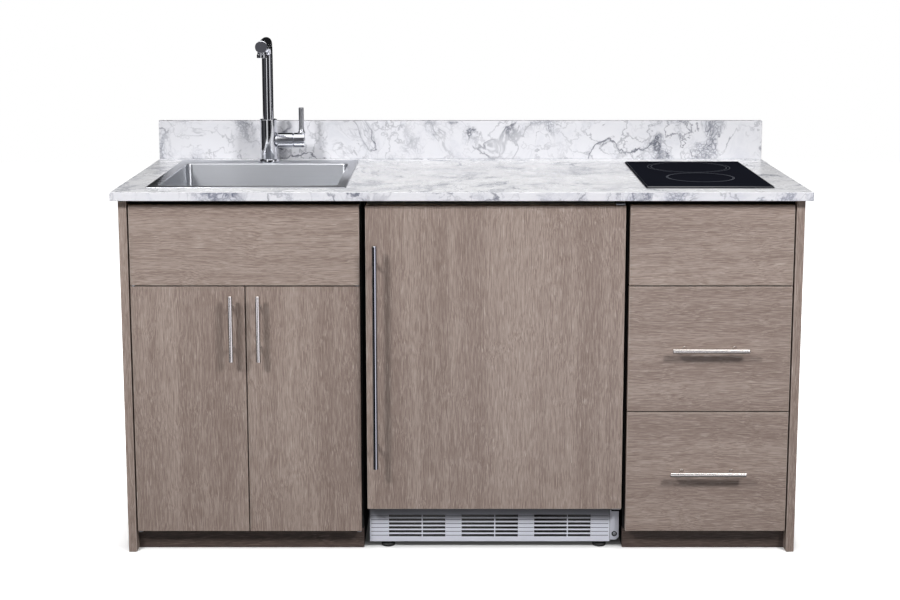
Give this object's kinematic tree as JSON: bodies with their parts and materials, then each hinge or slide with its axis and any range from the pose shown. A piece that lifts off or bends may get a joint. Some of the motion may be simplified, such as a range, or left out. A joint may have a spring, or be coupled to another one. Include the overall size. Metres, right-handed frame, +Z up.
{
  "type": "kitchenette unit with sink and hob",
  "caption": "Free-standing kitchenette: stone-pattern worktop and backsplash, drop-in sink and tap, glass hob, doors, drawers and a built-in fridge with an overlay panel.",
  "frame": {"origin": "on the floor, in the middle of the unit's width and of its depth from the wall to the fridge handle", "axes": "+X to the right along the worktop, +Y towards the wall, +Z up"},
  "size_m": [1.6, 0.652, 1.193],
  "materials": {
    "marble_laminate": "satin marble-pattern laminate",
    "oak_laminate": "matt wood-grain laminate",
    "kick_laminate": "matt wood-grain laminate, darker",
    "black_board": "black melamine",
    "carcass_board": "pale melamine",
    "drawer_board": "pale melamine",
    "brushed_nickel": "brushed",
    "zinc_steel": "zinc plated",
    "hinge_black": "black zinc plated",
    "pivot_brass": "plain",
    "runner_white": "white coated",
    "sink_steel": "brushed stainless",
    "drain_plastic": "white moulded",
    "dark_chrome": "dark polished",
    "tail_copper": "plain copper",
    "hob_black_glass": "polished black ceramic glass",
    "pan_steel": "coated sheet",
    "case_black": "black coated sheet over foam",
    "chassis_black": "black coated sheet",
    "fridge_white": "white moulded",
    "grille_silver": "silver-grey satin",
    "foot_black": "black moulded",
    "gasket_grey": "soft grey",
    "handle_steel": "dark polished",
    "clear_plastic": "clear moulded",
    "shelf_glass": "clear tempered",
    "compressor_black": "black painted"
  },
  "bodies": {
    "unit": {"worktop": "marble_laminate", "backsplash": "marble_laminate", "left_end_panel": "oak_laminate", "right_end_panel": "oak_laminate", "sink_false_front": "oak_laminate", "hob_false_front": "oak_laminate", "toe_kicks": "kick_laminate", "sink_cabinet_sides": "black_board", "drawer_cabinet_sides": "black_board", "cabinet_rails": "black_board", "cabinet_floors": "carcass_board", "cabinet_backs": "carcass_board", "door_pivot_leaves": "zinc_steel", "sink_clips": "zinc_steel", "fridge_hinges": "hinge_black", "tap_shank_nut": "pivot_brass", "drawer_channels": "runner_white", "sink_bowl": "sink_steel", "drain_body": "sink_steel", "drain_tailpiece": "drain_plastic", "tap_body": "dark_chrome", "tap_inlet_tails": "tail_copper", "hob_glass": "hob_black_glass", "hob_pan": "pan_steel", "hob_elements": "pan_steel", "fridge_case": "case_black", "fridge_chassis": "chassis_black", "fridge_liner": "fridge_white", "fridge_grille": "grille_silver", "fridge_hinge_cover": "grille_silver", "fridge_feet": "foot_black", "fridge_crisper": "clear_plastic", "fridge_shelves": "shelf_glass", "compressor": "compressor_black"},
    "left_door": {"left_door": "oak_laminate", "left_door_bushes": "pivot_brass", "left_door_handle": "brushed_nickel"},
    "right_door": {"right_door": "oak_laminate", "right_door_bushes": "pivot_brass", "right_door_handle": "brushed_nickel"},
    "upper_drawer": {"upper_drawer_front": "oak_laminate", "upper_drawer_box": "drawer_board", "upper_drawer_handle": "brushed_nickel", "upper_drawer_runners": "runner_white"},
    "lower_drawer": {"lower_drawer_front": "oak_laminate", "lower_drawer_box": "drawer_board", "lower_drawer_handle": "brushed_nickel", "lower_drawer_runners": "runner_white"},
    "strainer": {"strainer_basket": "sink_steel"},
    "spout": {"tap_spout": "dark_chrome", "tap_aerator": "dark_chrome"},
    "valve_stem": {"tap_valve_stem": "dark_chrome"},
    "lever": {"tap_lever": "dark_chrome"},
    "fridge_door": {"fridge_door": "fridge_white", "fridge_door_gasket": "gasket_grey", "fridge_door_panel": "oak_laminate", "fridge_door_handle": "handle_steel", "fridge_door_bushes": "zinc_steel", "fridge_door_racks": "clear_plastic"},
    "thermostat": {"thermostat_knob": "fridge_white"}
  },
  "joints": [
    {"name": "left_door_swing", "type": "hinge", "parent": "unit", "child": "left_door", "pos_m": [-0.758, -0.278, 0.34625], "axis": [0, 0, 1], "range_deg": [-105, 0]},
    {"name": "right_door_swing", "type": "hinge", "parent": "unit", "child": "right_door", "pos_m": [-0.2415, -0.278, 0.34625], "axis": [0, 0, 1], "range_deg": [0, 105]},
    {"name": "upper_drawer_slide", "type": "slide", "parent": "unit", "child": "upper_drawer", "axis": [0, -1, 0], "range_m": [0, 0.38]},
    {"name": "lower_drawer_slide", "type": "slide", "parent": "unit", "child": "lower_drawer", "axis": [0, -1, 0], "range_m": [0, 0.38]},
    {"name": "strainer_lift", "type": "slide", "parent": "unit", "child": "strainer", "axis": [0, 0, 1], "range_m": [0, 0.2]},
    {"name": "spout_swivel", "type": "hinge", "parent": "unit", "child": "spout", "pos_m": [-0.49975, 0.228, 0.978], "axis": [0, 0, 1], "range_deg": [-90, 90]},
    {"name": "temperature_turn", "type": "hinge", "parent": "unit", "child": "valve_stem", "pos_m": [-0.49975, 0.228, 0.923], "axis": [1, 0, 0], "range_deg": [-45, 45]},
    {"name": "flow_tilt", "type": "hinge", "parent": "valve_stem", "child": "lever", "pos_m": [-0.41415, 0.228, 0.929], "axis": [0, 1, 0], "range_deg": [0, 25]},
    {"name": "fridge_door_swing", "type": "hinge", "parent": "unit", "child": "fridge_door", "pos_m": [0.36475, -0.27, 0.46775], "axis": [0, 0, 1], "range_deg": [0, 90]},
    {"name": "thermostat_turn", "type": "hinge", "parent": "unit", "child": "thermostat", "pos_m": [0.30725, -0.085, 0.706], "axis": [-1, 0, 0], "range_deg": [0, 270]}
  ]
}
